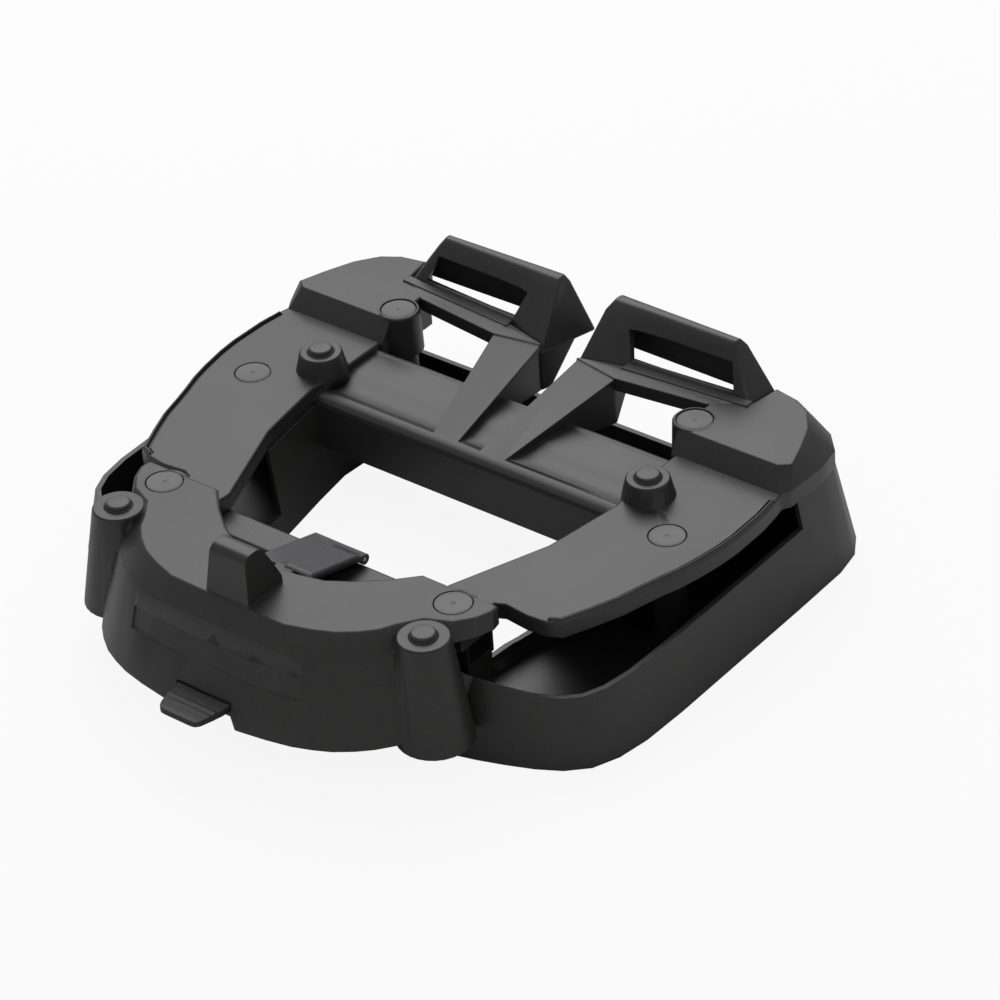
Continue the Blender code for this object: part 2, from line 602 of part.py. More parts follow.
def build_hook():
    """A hollow hook: leaning front frame with a window, flared ends and a straight rear curtain."""
    rear = HOOK_REAR_Y
    foot = [*HOOK_FRONT_FOOT, (0.1166, rear - 0.0005), HOOK_INNER_REAR]
    shoulder = [(0.0155, 0.1560), (0.0385, 0.1570), (0.0970, 0.1580), (0.0978, rear - 0.0010),
                (0.0160, rear)]
    crown = [(0.0180, 0.1610), (0.0390, 0.1610), (0.0945, 0.1605), (0.0945, rear - 0.0030),
             (0.0185, rear - 0.0015)]
    hook = loft("hook", [level(foot, HOOK_FOOT), level(shoulder, HOOK_SHOULDER), level(crown, HOOK_TOP)])
    soften(hook, 0.0016, 2)
    cavity_top = 0.0030
    share = (HOOK_SHOULDER - cavity_top - HOOK_FOOT) / (HOOK_SHOULDER - HOOK_FOOT)
    inner_foot = inset(foot, WALL)
    inner_top = [tuple(np.array(a) + share * (np.array(b) - np.array(a)))
                 for a, b in zip(inner_foot, inset(shoulder, WALL))]
    below = [tuple(np.array(a) - 0.06 * (np.array(b) - np.array(a))) for a, b in zip(inner_foot, inner_top)]
    cut(hook, loft("hook_hollow", [level(below, HOOK_FOOT - 0.002), level(inner_foot, HOOK_FOOT),
                                   level(inner_top, HOOK_SHOULDER - cavity_top)]))
    low, high = HOOK_WINDOW_LOW, HOOK_WINDOW_HIGH
    window = loft("hook_window", [
        [(0.0385, 0.125, low), (0.0385, rear - WALL - 0.002, low), (0.0330, rear - WALL - 0.002, high),
         (0.0330, 0.125, high)],
        [(0.1000, 0.125, low), (0.1000, rear - WALL - 0.002, low), (0.0955, rear - WALL - 0.002, high),
         (0.0955, 0.125, high)]])
    cut(hook, window)
    return hook


def build_deck():
    outline = ARM_OUTER + ARM_INNER
    deck = prism("deck_cover", outline, [
        (0.0, ARM_TOP - LIP_DEPTH), (0.0, ARM_TOP - EDGE_ROUND),
        (EDGE_ROUND * 0.3, ARM_TOP - EDGE_ROUND * 0.3), (EDGE_ROUND, ARM_TOP)], PARTS)
    cut(deck, prism("arm_hollow", outline, [(WALL, ARM_TOP - LIP_DEPTH - 0.001), (WALL, ARM_TOP - WALL)]))
    cut(deck, edge_strip("rim_groove", RIM_FIRST, RIM_LAST, RIM_WIDTH, RIM_WIDTH + GROOVE_WIDTH,
                         [(0.0, ARM_TOP - GROOVE_DEPTH), (0.0, ARM_TOP + 0.004)]))
    add(deck, edge_strip("rim", RIM_FIRST, RIM_LAST, EDGE_ROUND + 0.0001, RIM_WIDTH - 0.0001, [
        (0.0, ARM_TOP - GROOVE_DEPTH / 2), (0.0, ARM_TOP + RIM_HEIGHT * 0.5),
        (0.0003, ARM_TOP + RIM_HEIGHT)]))

    wing = loft("wing", [level(WING_FOOT, DECK_FOOT), level(WING_FOOT, ARM_TOP),
                         level(inset(WING_TOP, -0.0006), DECK_TOP - 0.0007),
                         level(inset(WING_TOP, 0.0004), DECK_TOP)])
    cut(wing, loft("wing_hollow", [
        level(inset(WING_FOOT, WALL), DECK_FOOT - 0.001), level(inset(WING_FOOT, WALL), ARM_TOP - WALL),
        level(inset(WING_TOP, WALL), DECK_TOP - WALL)]))
    add(deck, wing, build_beam())
    rail_low = DECK_TOP - RAIL_THICKNESS
    rail_top = DECK_TOP + 0.0002
    add(deck, prism("rail", [(0.0385, 0.1295), (0.0930, 0.1360), (0.0980, 0.1400), (0.1132, 0.1478),
                             (0.1126, 0.1502), (0.0385, 0.1452)],
                    [(0.0, rail_low), (0.0, rail_top - 0.0006), (0.0006, rail_top)]))
    add(deck, prism("rail_step", [(0.0374, 0.1380), (0.1124, 0.1442), (0.1122, 0.1498), (0.0374, 0.1446)],
                    [(0.0, DECK_TOP - 0.001), (0.0003, DECK_TOP + RAIL_STEP)]))
    add(deck, build_hook(), build_fin(), build_web())

    add(deck, post("deck_post", [(DECK_SCREW, DECK_POST_RADIUS + 0.0008, COVER_BOSS_FOOT),
                                 (DECK_SCREW, DECK_POST_RADIUS, DECK_TOP - 0.0004),
                                 (DECK_SCREW, DECK_POST_RADIUS - 0.0008, DECK_TOP + 0.0004)]))
    ring = CAP_RADIUS + WALL
    add(deck, cone("arm_post", ARM_SCREW, ring, ring, COVER_BOSS_FOOT, ARM_TOP - 0.001))
    add(deck, box("nose_tongue", (0.0810, 0.1030), (-0.0780, -0.0500),
                  (ARM_TOP - LIP_DEPTH + 0.0015, TONGUE_TOP)))
    cut(deck, hole("tongue_bore", NOSE_SCREW, SCREW_RADIUS, ARM_TOP - LIP_DEPTH - 0.001, ARM_TOP + 0.001))

    stud_top = ARM_TOP + STUD_HEIGHT
    add(deck, post("stud", [(STUD, STUD_FOOT_RADIUS + 0.0005, ARM_TOP - LIP_DEPTH / 2),
                            (STUD, STUD_FOOT_RADIUS, ARM_TOP), (STUD, STUD_RADIUS, stud_top - 0.0008),
                            (STUD, STUD_RADIUS - 0.0008, stud_top)]))
    seat_radius = BUFFER_RADIUS + CLEARANCE
    cut(deck, post("stud_buffer_seat", [
        (STUD, seat_radius, stud_top - BUFFER_SEAT_DEPTH), (STUD, seat_radius, stud_top + 0.0005),
        (STUD, seat_radius + 0.0017, stud_top + 0.002)]))
    seat = ARM_TOP - HEAD_DEPTH
    cap_seat(deck, ARM_SCREW, ARM_TOP, seat, COVER_BOSS_FOOT - 0.001, "arm")
    cap_seat(deck, DECK_SCREW, DECK_TOP, seat, COVER_BOSS_FOOT - 0.001, "deck")
    mirror_x(deck)
    deck.data.materials.append(material("moulded cover", (0.024, 0.025, 0.024), 0.42))
    return deck


def build_fasteners():
    cap_finish = material("cap", (0.030, 0.031, 0.030), 0.40)
    steel = material("zinc plated steel", (0.55, 0.55, 0.56), 0.35, 1.0)
    seat_low = ARM_TOP - HEAD_DEPTH
    places = (("arm", ARM_SCREW, ARM_TOP, seat_low), ("deck", DECK_SCREW, DECK_TOP, seat_low),
              ("nose", NOSE_SCREW, DECK_TOP, DECK_TOP - HEAD_DEPTH))
    for name, centre, top, seat in places:
        for side, sign in (("left", -1), ("right", 1)):
            plug_radius, plug_foot = SCREW_HEAD_RADIUS - 0.0006, -CAP_THICKNESS - CAP_PLUG_LENGTH
            cap = turned("%s_cap_%s" % (name, side), [
                (0.0, 0.0), (CAP_RADIUS - 0.0012, 0.0), (CAP_RADIUS - 0.0003, -0.0004), (CAP_RADIUS, -0.0010),
                (CAP_RADIUS, -CAP_THICKNESS), (plug_radius, -CAP_THICKNESS), (plug_radius, plug_foot),
                (0.0, plug_foot)], (sign * centre[0], centre[1], top))
            cap.data.materials.append(cap_finish)
            screw = turned("%s_screw_%s" % (name, side), [
                (0.0, SCREW_HEAD_HEIGHT - DRIVE_DEPTH), (DRIVE_RADIUS, SCREW_HEAD_HEIGHT - DRIVE_DEPTH),
                (DRIVE_RADIUS, SCREW_HEAD_HEIGHT), (0.0038, SCREW_HEAD_HEIGHT - 0.0004),
                (SCREW_HEAD_RADIUS, 0.0012), (SCREW_HEAD_RADIUS, 0.0), (SCREW_RADIUS, 0.0),
                (SCREW_RADIUS, 0.0008 - SCREW_LENGTH), (SCREW_RADIUS - 0.0008, -SCREW_LENGTH),
                (0.0, -SCREW_LENGTH)], (sign * centre[0], centre[1], seat + CLEARANCE))
            screw.data.materials.append(steel)


def build_buffers():
    rubber = material("rubber", (0.028, 0.028, 0.029), 0.62)
    for name, centre, height in (("nose", NOSE_POST, NOSE_POST_HEIGHT), ("stud", STUD, STUD_HEIGHT)):
        for side, sign in (("left", -1), ("right", 1)):
            buffer = turned("%s_buffer_%s" % (name, side), [
                (0.0, BUFFER_STANDS), (BUFFER_RADIUS - 0.0022, BUFFER_STANDS),
                (BUFFER_RADIUS - 0.0008, BUFFER_STANDS - 0.0006),
                (BUFFER_RADIUS - 0.0002, BUFFER_STANDS - 0.0016), (BUFFER_RADIUS, 0.0),
                (BUFFER_RADIUS, CLEARANCE - BUFFER_SEAT_DEPTH), (0.0, CLEARANCE - BUFFER_SEAT_DEPTH)],
                (sign * centre[0], centre[1], ARM_TOP + height))
            buffer.data.materials.append(rubber)


def build_strap():
    """The strap, seen along X: a knuckle at the rear, then a plate that rises over the sleeve."""
    rear_top = PIN_Z + KNUCKLE_RADIUS
    slope = (STRAP_FRONT_TOP - rear_top) / (STRAP_FRONT_Y - PIN_Y)

    def top_z(y):
        return rear_top + slope * (y - PIN_Y)

    front = STRAP_FRONT_Y
    outline = ([(front, top_z(front) - STRAP_THICKNESS), (front, top_z(front) - 0.0008),
                (front + 0.0008, top_z(front) - 0.0001), (PIN_Y - 0.0015, top_z(PIN_Y - 0.0015))]
               + arc((PIN_Y, PIN_Z), KNUCKLE_RADIUS, 80, -140, 14)
               + [(PIN_Y - 0.0032, top_z(PIN_Y - 0.0032) - STRAP_THICKNESS)])
    half = STRAP_WIDTH / 2
    strap = extrude_x("retaining_strap", outline, -half, half, PARTS)
    reach = TONGUE_TIP_Y
    tongue_top = top_z(front) - 0.0004
    add(strap, prism("strap_tongue", [
        (-TONGUE_HALF_WIDTH, reach), (TONGUE_HALF_WIDTH, reach), (TONGUE_HALF_WIDTH, front + 0.004),
        (-TONGUE_HALF_WIDTH, front + 0.004)],
        [(0.0, tongue_top - STRAP_THICKNESS), (0.0, tongue_top - 0.0006), (0.0006, tongue_top)]))
    ridge = 0.0008
    add(strap, loft("strap_step", [
        [(0.0000, y, top_z(y) - 0.001), (half - 0.0015, y, top_z(y) - 0.001),
         (half - 0.0020, y, top_z(y) + ridge), (0.0005, y, top_z(y) + ridge)]
        for y in (front + 0.0025, PIN_Y - 0.0050)]))
    cut(strap, rod_x("strap_bore", PIN_Y, PIN_Z, PIN_RADIUS + CLEARANCE, -half - 0.001, half + 0.001))
    room = LUG_RADIUS + CLEARANCE
    room_half = LUG_HALF_WIDTH + CLEARANCE
    cut(strap, extrude_x("lug_room", arc((PIN_Y, PIN_Z), room, 90, 180, 8)
                         + [(PIN_Y - room, PIN_Z - 0.006), (PIN_Y + 0.006, PIN_Z - 0.006),
                            (PIN_Y + 0.006, PIN_Z + room)], -room_half, room_half))
    strap.data.materials.append(material("strap", (0.045, 0.042, 0.048), 0.38))
    origin_at(strap, (0.0, PIN_Y, PIN_Z))

    pin = rod_x("strap_pin", PIN_Y, PIN_Z, PIN_RADIUS, CLEARANCE - half, half - CLEARANCE, PARTS)
    pin.data.materials.append(material("pin steel", (0.55, 0.55, 0.56), 0.30, 1.0))


def build_tab():
    """The release tab: a slide inside the nose, a neck through its front wall and a rounded end."""
    low = TAB_LOW
    root, tip = TAB_ROOT_WIDTH / 2, TAB_WIDTH / 2
    half = [(0.0, FRONT_Y), (tip - 0.0060, FRONT_Y), (tip - 0.0020, FRONT_Y + 0.0012),
            (tip + 0.0005, FRONT_Y + 0.0050), (root - 0.0006, FRONT_Y + 0.0150), (root, FRONT_Y + 0.0200),
            (root, TAB_INNER_Y), (0.0, TAB_INNER_Y)]
    tab = prism("release_tab", both(half), [
        (0.0006, low), (0.0, low + 0.0006), (0.0, low + TAB_THICKNESS - 0.0008),
        (0.0008, low + TAB_THICKNESS)], PARTS)
    for step in range(3):
        y = FRONT_Y + 0.0040 + 0.0035 * step
        add(tab, box("tab_rib_%d" % step, (-tip + 0.003, tip - 0.003), (y, y + 0.0012),
                     (low + TAB_THICKNESS - 0.0005, low + TAB_THICKNESS + 0.0005)))
    tab.data.materials.append(material("tab", (0.024, 0.025, 0.024), 0.44))
    origin_at(tab, (0.0, TAB_INNER_Y, TAB_LOW))


build_base()
build_deck()
build_fasteners()
build_buffers()
build_strap()
build_tab()

# The origin is brought to the middle of the whole outline
for item in bpy.data.objects:
    item.location.y -= (REAR_Y + FRONT_Y) / 2
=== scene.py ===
"""Top case mounting plate, dressed round its CAD frame.

The plate is two black mouldings screwed together, with six caps over the screws, four rubber
buffers, a hinged strap over the front sleeve and a release tab under the nose.
"""
from math import cos, pi, radians, sin

import bmesh
import bpy
import numpy as np
from mathutils import Matrix, Vector


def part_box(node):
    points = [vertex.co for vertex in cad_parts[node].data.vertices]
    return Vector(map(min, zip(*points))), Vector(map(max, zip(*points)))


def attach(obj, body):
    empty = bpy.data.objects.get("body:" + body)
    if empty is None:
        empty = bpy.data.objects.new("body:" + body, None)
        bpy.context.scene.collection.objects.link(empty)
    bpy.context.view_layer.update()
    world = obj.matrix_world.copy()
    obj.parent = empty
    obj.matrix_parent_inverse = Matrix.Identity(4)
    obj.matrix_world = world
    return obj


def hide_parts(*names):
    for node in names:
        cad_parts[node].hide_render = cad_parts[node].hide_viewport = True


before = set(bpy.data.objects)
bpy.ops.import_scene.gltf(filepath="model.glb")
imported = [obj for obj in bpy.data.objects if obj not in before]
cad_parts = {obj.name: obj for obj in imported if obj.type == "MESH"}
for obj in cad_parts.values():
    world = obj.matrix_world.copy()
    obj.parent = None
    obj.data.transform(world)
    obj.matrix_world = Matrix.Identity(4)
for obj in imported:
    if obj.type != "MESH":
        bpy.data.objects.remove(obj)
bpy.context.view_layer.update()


# The camera stands to the right of the nose and looks down on the plate, as the photographer did.
# A long lens keeps the far hooks nearly as large as the near posts.
AZIMUTH, ELEVATION, ROLL = radians(40.206), radians(34.580), radians(-3.881)
CAMERA_PLACE = (1.0863, -1.2092, 1.1718)
FOCAL_PX, IMAGE_PX, SENSOR = 3943.3, 1000.0, 36.0
NEAR_CLIP = 0.05
back = Vector((sin(AZIMUTH) * cos(ELEVATION), -cos(AZIMUTH) * cos(ELEVATION), sin(ELEVATION)))
right = Vector((cos(AZIMUTH), sin(AZIMUTH), 0.0))
down = -back.cross(right)
across = right * cos(ROLL) - down * sin(ROLL)
along = right * sin(ROLL) + down * cos(ROLL)
lens = bpy.data.cameras.new("camera")
lens.sensor_width = SENSOR
lens.lens = FOCAL_PX * SENSOR / IMAGE_PX
lens.clip_start = NEAR_CLIP
camera = bpy.data.objects.new("camera", lens)
camera_rows = [(across[axis], -along[axis], back[axis], CAMERA_PLACE[axis]) for axis in range(3)]
camera.matrix_world = Matrix((*camera_rows, (0.0, 0.0, 0.0, 1.0)))
bpy.context.scene.collection.objects.link(camera)
bpy.context.scene.camera = camera
bpy.context.scene.view_settings.view_transform = "Standard"


# The studio is a white table that keeps a soft shadow, under a pale sky and one large soft lamp
# that stands behind the plate and gives its top faces their grey sheen.
TABLE_HALF, TABLE_DROP = 6.0, 0.0004
TABLE_GREY, TABLE_GLOW = 0.80, 0.90
SKY_SEEN, SKY_LIGHT = 1.0, 0.42
WHITE = (1.0, 1.0, 1.0, 1.0)
floor_mesh = bpy.data.meshes.new("studio_floor")
floor_mesh.from_pydata([(x * TABLE_HALF, y * TABLE_HALF, -TABLE_DROP) for x, y in
                        ((-1, -1), (1, -1), (1, 1), (-1, 1))], [], [(0, 1, 2, 3)])
floor = bpy.data.objects.new("studio_floor", floor_mesh)
bpy.context.scene.collection.objects.link(floor)


def node_of(tree, kind, **values):
    """Adds one shader node; values go to its properties, or to the inputs of the same name."""
    made = tree.nodes.new(kind)
    for key, value in values.items():
        if hasattr(made, key):
            setattr(made, key, value)
        else:
            made.inputs[key.replace("_", " ")].default_value = value
    return made


paper = bpy.data.materials.new("studio_white")
paper.use_nodes = True
paper_tree = paper.node_tree
paper_tree.nodes.clear()
paths = node_of(paper_tree, "ShaderNodeLightPath")
matt = node_of(paper_tree, "ShaderNodeBsdfDiffuse", Color=(TABLE_GREY, TABLE_GREY, TABLE_GREY, 1.0))
bright = node_of(paper_tree, "ShaderNodeEmission", Color=WHITE, Strength=1.0)
glowing = node_of(paper_tree, "ShaderNodeMixShader", Fac=TABLE_GLOW)
paper_tree.links.new(matt.outputs[0], glowing.inputs[1])
paper_tree.links.new(bright.outputs[0], glowing.inputs[2])
seen = node_of(paper_tree, "ShaderNodeMixShader")
paper_tree.links.new(paths.outputs["Is Camera Ray"], seen.inputs[0])
paper_tree.links.new(matt.outputs[0], seen.inputs[1])
paper_tree.links.new(glowing.outputs[0], seen.inputs[2])
out = node_of(paper_tree, "ShaderNodeOutputMaterial")
paper_tree.links.new(seen.outputs[0], out.inputs[0])
floor_mesh.materials.append(paper)

world = bpy.data.worlds.new("studio_sky")
world.use_nodes = True
sky_tree = world.node_tree
sky_paths = node_of(sky_tree, "ShaderNodeLightPath")
sky = sky_tree.nodes["Background"]
sky.inputs["Color"].default_value = WHITE
level = node_of(sky_tree, "ShaderNodeMapRange", To_Min=SKY_LIGHT, To_Max=SKY_SEEN)
sky_tree.links.new(sky_paths.outputs["Is Camera Ray"], level.inputs["Value"])
sky_tree.links.new(level.outputs[0], sky.inputs["Strength"])
bpy.context.scene.world = world


def soft_lamp(name, azimuth, elevation, distance, size, watts):
    """A square lamp on a sphere round the plate, turned to face it: (sin a cos e, cos a cos e, sin e)
    times its distance."""
    lamp = bpy.data.lights.new(name, "AREA")
    lamp.shape = "SQUARE"
    lamp.size = size
    lamp.energy = watts
    made = bpy.data.objects.new(name, lamp)
    a, e = radians(azimuth), radians(elevation)
    place = Vector((sin(a) * cos(e), cos(a) * cos(e), sin(e))) * distance
    made.location = place
    made.rotation_euler = place.to_track_quat("Z", "Y").to_euler()
    made.visible_camera = False
    bpy.context.scene.collection.objects.link(made)


soft_lamp("rear_lamp", azimuth=-40.0, elevation=48.0, distance=2.6, size=2.0, watts=41.0)


# The base is one black moulding: the nose with its catch block and two buffer posts, the low sides,
# the rear columns and the floor.  Its faces have the fine grain of a spark-eroded mould.
PLASTIC_IOR = 1.50
GRAIN_SCALE, GRAIN_DEPTH = 1500.0, 0.0002
DRIFT_SCALE, PLASTIC_DRIFT = 22.0, 0.03
GRAIN_TINTS = ((0.30, 0.72), (0.70, 1.28))
EDGE_RADIUS, EDGE_SAMPLES = 0.0007, 6


def drifting_roughness(tree, shader, noise, roughness, drift):
    """Roughness that follows a noise from roughness - drift to roughness + drift."""
    spread = node_of(tree, "ShaderNodeMapRange", To_Min=roughness - drift, To_Max=roughness + drift)
    tree.links.new(noise.outputs[0], spread.inputs["Value"])
    tree.links.new(spread.outputs[0], shader.inputs["Roughness"])


def grained(name, colour, roughness, grain):
    """Moulded plastic: a fine bump and a slow drift in roughness on Object coordinates, and edges
    that catch the light as if they were rounded."""
    made = bpy.data.materials.new(name)
    made.use_nodes = True
    tree = made.node_tree
    shader = tree.nodes["Principled BSDF"]
    shader.inputs["IOR"].default_value = PLASTIC_IOR
    where = node_of(tree, "ShaderNodeTexCoord")
    fine = node_of(tree, "ShaderNodeTexNoise", Scale=GRAIN_SCALE, Detail=2.0, Roughness=0.6)
    slow = node_of(tree, "ShaderNodeTexNoise", Scale=DRIFT_SCALE, Detail=3.0)
    tree.links.new(where.outputs["Object"], fine.inputs["Vector"])
    tree.links.new(where.outputs["Object"], slow.inputs["Vector"])
    bump = node_of(tree, "ShaderNodeBump", Strength=grain, Distance=GRAIN_DEPTH)
    tree.links.new(fine.outputs[0], bump.inputs["Height"])
    rounded = node_of(tree, "ShaderNodeBevel", samples=EDGE_SAMPLES, Radius=EDGE_RADIUS)
    tree.links.new(rounded.outputs[0], bump.inputs["Normal"])
    tree.links.new(bump.outputs[0], shader.inputs["Normal"])
    drifting_roughness(tree, shader, slow, roughness, PLASTIC_DRIFT)
    tint = node_of(tree, "ShaderNodeValToRGB")
    for index, (position, share) in enumerate(GRAIN_TINTS):
        tint.color_ramp.elements[index].position = position
        tint.color_ramp.elements[index].color = (*[share * c for c in colour], 1.0)
    tree.links.new(fine.outputs[0], tint.inputs[0])
    tree.links.new(tint.outputs[0], shader.inputs["Base Color"])
    return made


NODE_MERGE, FLAT_ANGLE, NODE_SMOOTH_ANGLE, FLAT_WEIGHT = 0.00001, radians(0.08), radians(32.0), 50


def moulded_copy(name, node, body, finish):
    """A merged copy of a CAD node: curved faces shade smoothly, flat ones stay flat."""
    shape = bmesh.new()
    shape.from_mesh(bpy.data.objects[node].data)
    bmesh.ops.remove_doubles(shape, verts=shape.verts, dist=NODE_MERGE)
    bmesh.ops.dissolve_limit(shape, angle_limit=FLAT_ANGLE, verts=shape.verts, edges=shape.edges)
    mesh = bpy.data.meshes.new(name)
    shape.to_mesh(mesh)
    shape.free()
    mesh.shade_smooth()
    mesh.set_sharp_from_angle(angle=NODE_SMOOTH_ANGLE)
    mesh.materials.clear()
    mesh.materials.append(finish)
    made = bpy.data.objects.new(name, mesh)
    bpy.context.scene.collection.objects.link(made)
    flat_faces = made.modifiers.new("flat_faces", "WEIGHTED_NORMAL")
    flat_faces.weight = FLAT_WEIGHT
    flat_faces.keep_sharp = True
    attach(made, body)
    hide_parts(node)
    return made


base_finish = grained("base_plastic", (0.022, 0.0225, 0.0210), 0.42, 0.25)
base_shell = moulded_copy("base_moulding", "base_shell", "plate", base_finish)

# The faces in and just round the bare recess in the nose's front wall are shaded flat.
RECESS_Z, RECESS_HALF_HEIGHT, RECESS_HALF_WIDTH = 0.0497, 0.0056, 0.0540
NOSE_WALL_BEFORE_Y, FACING_AHEAD = -0.12, -0.6
faces = base_shell.data.polygons
centres, facing = np.empty(3 * len(faces)), np.empty(3 * len(faces))
faces.foreach_get("center", centres)
faces.foreach_get("normal", facing)
centres, facing = centres.reshape(-1, 3), facing.reshape(-1, 3)
in_recess = np.abs(centres[:, 2] - RECESS_Z) < RECESS_HALF_HEIGHT
in_recess &= np.abs(centres[:, 0]) < RECESS_HALF_WIDTH
in_recess &= (centres[:, 1] < NOSE_WALL_BEFORE_Y) & (facing[:, 1] < FACING_AHEAD)
faces.foreach_set("use_smooth", ~in_recess)


# The deck cover is the upper moulding: two arms, the beam, the fins, the hooks and the two studs.
# It is screwed down on the base's bosses.
deck_finish = grained("cover_plastic", (0.023, 0.0235, 0.0230), 0.41, 0.25)
moulded_copy("cover_moulding", "deck_cover", "plate", deck_finish)


# Six round caps cover the screws: smooth pressed-in discs, a little glossier than the mouldings,
# with a rounded rim, a faintly dished face and the small mark that the mould's gate leaves.
POLE_MERGE, SMOOTH_ANGLE, ROUND_SIDES, FACE_RINGS = 0.0000005, radians(40.0), 64, 6
CAP_RADIUS, CAP_RIM, CAP_DISH, CAP_THICKNESS = 0.0095, 0.0007, 0.00018, 0.0022
CAP_FACE_FROM, CAP_FACE_TO, PLUG_RADIUS = 0.0020, 0.0086, 0.0049
GATE_RADIUS, GATE_DEPTH, GATE_FLANK = 0.0009, 0.00015, 0.0001


def finished(name, points, body, finish, closed=True):
    """A surface through a grid of points P[i, j]: quads join neighbours, the last column joins the
    first one where closed is set, and poles are merged."""
    rows, columns = points.shape[:2]
    i, j = np.meshgrid(np.arange(rows - 1), np.arange(columns if closed else columns - 1), indexing="ij")
    ahead = (j + 1) % columns
    quads = np.stack([i * columns + j, (i + 1) * columns + j, (i + 1) * columns + ahead,
                      i * columns + ahead], axis=-1)
    mesh = bpy.data.meshes.new(name)
    mesh.from_pydata(points.reshape(-1, 3).tolist(), [], quads.reshape(-1, 4).tolist())
    shape = bmesh.new()
    shape.from_mesh(mesh)
    bmesh.ops.remove_doubles(shape, verts=shape.verts, dist=POLE_MERGE)
    bmesh.ops.recalc_face_normals(shape, faces=shape.faces)
    shape.to_mesh(mesh)
    shape.free()
    mesh.shade_smooth()
    mesh.set_sharp_from_angle(angle=SMOOTH_ANGLE)
    mesh.materials.append(finish)
    made = bpy.data.objects.new(name, mesh)
    bpy.context.scene.collection.objects.link(made)
    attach(made, body)
    return made


def turned(profile, centre):
    """A profile of (radius, height) turned about an upright axis: (r cos v, r sin v, z)."""
    radius, height = np.array(profile).T
    v = np.linspace(0.0, 2.0 * pi, ROUND_SIDES, endpoint=False)
    return np.stack([centre[0] + radius[:, None] * np.cos(v), centre[1] + radius[:, None] * np.sin(v),
                     centre[2] + height[:, None] + 0.0 * v], axis=-1)


def rounded_rim(radius, top, roll, steps=8):
    """A quarter circle of (radius, height) from a flat top over its rim to its side:
    (r - q + q cos a, t - q + q sin a) with the roll q and a from 90 degrees to 0."""
    a = np.linspace(pi / 2.0, 0.0, steps)
    return [(radius - roll + roll * c, top - roll + roll * s) for c, s in zip(np.cos(a), np.sin(a))]


def top_and_foot(node):
    """The middle of a round node's top face, and its foot's height from there, both from its box."""
    low, high = [np.array(corner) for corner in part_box(node)]
    return (*((low + high) / 2.0)[:2], high[2]), low[2] - high[2]


cap_finish = grained("cap_plastic", (0.026, 0.0265, 0.026), 0.36, 0.08)
gate_floor = -CAP_DISH - GATE_DEPTH
cap_top = [(0.0, gate_floor), (GATE_RADIUS, gate_floor), (GATE_RADIUS + GATE_FLANK, -CAP_DISH)]
for r in np.linspace(CAP_FACE_FROM, CAP_FACE_TO, FACE_RINGS):
    cap_top.append((r, -CAP_DISH * (1.0 - (r / CAP_RADIUS) ** 4)))
cap_top += rounded_rim(CAP_RADIUS, 0.0, CAP_RIM)
for row in ("arm", "deck", "nose"):
    for side in ("left", "right"):
        node = "%s_cap_%s" % (row, side)
        centre, foot = top_and_foot(node)
        cap_plug = [(CAP_RADIUS, -CAP_THICKNESS), (PLUG_RADIUS, -CAP_THICKNESS),
                    (PLUG_RADIUS, foot), (0.0, foot)]
        cap = finished(node + "_disc", turned(cap_top + cap_plug, centre), "plate", cap_finish)
        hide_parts(node)


# Four rubber buffers are pressed into the nose posts and the cone studs: the case rests on them.
# Each is a soft button with a rounded crown over a thin collar.
BUFFER_RADIUS, COLLAR_TOP = 0.0070, -0.0026
BUTTON_RADIUS, BUTTON_ROLL, BUTTON_EDGE, BUTTON_FOOT = 0.0064, 0.0014, -0.00022, -0.0023
CROWN_DROP, CROWN_REACH, CROWN_FROM, CROWN_TO = 0.00025, 0.0052, 0.0010, 0.0046
rubber = grained("buffer_rubber", (0.034, 0.034, 0.035), 0.42, 0.12)
crown = [(0.0, 0.0)]
for r in np.linspace(CROWN_FROM, CROWN_TO, FACE_RINGS):
    crown.append((r, -CROWN_DROP * (r / CROWN_REACH) ** 2))
crown += rounded_rim(BUTTON_RADIUS, BUTTON_EDGE, BUTTON_ROLL, steps=10)
for row in ("nose", "stud"):
    for side in ("left", "right"):
        node = "%s_buffer_%s" % (row, side)
        centre, foot = top_and_foot(node)
        collar = [(BUTTON_RADIUS, BUTTON_FOOT), (BUFFER_RADIUS, COLLAR_TOP),
                  (BUFFER_RADIUS, foot), (0.0, foot)]
        button = finished(node + "_button", turned(crown + collar, centre), "plate", rubber)
        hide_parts(node)


# The screws under the caps and the strap's pin are zinc plated steel, drawn and lightly brushed.
# They keep their CAD shapes.
STREAK_SCALE, STEEL_DRIFT = (2400.0, 2400.0, 60.0), 0.08


def brushed(name, colour, roughness):
    """Metal with a fine streak along Z, worked from stretched noise on Object coordinates."""
    made = bpy.data.materials.new(name)
    made.use_nodes = True
    tree = made.node_tree
    shader = tree.nodes["Principled BSDF"]
    shader.inputs["Metallic"].default_value = 1.0
    shader.inputs["Base Color"].default_value = (*colour, 1.0)
    where = node_of(tree, "ShaderNodeTexCoord")
    stretch = node_of(tree, "ShaderNodeMapping", Scale=STREAK_SCALE)
    streak = node_of(tree, "ShaderNodeTexNoise", Scale=1.0, Detail=3.0)
    tree.links.new(where.outputs["Object"], stretch.inputs["Vector"])
    tree.links.new(stretch.outputs[0], streak.inputs["Vector"])
    drifting_roughness(tree, shader, streak, roughness, STEEL_DRIFT)
    return made


zinc = brushed("zinc_plated_steel", (0.56, 0.56, 0.57), 0.34)
for row in ("arm", "deck", "nose"):
    for side in ("left", "right"):
        bpy.data.objects["%s_screw_%s" % (row, side)].material_slots[0].material = zinc
bpy.data.objects["strap_pin"].material_slots[0].material = brushed("pin_steel", (0.52, 0.52, 0.53), 0.28)


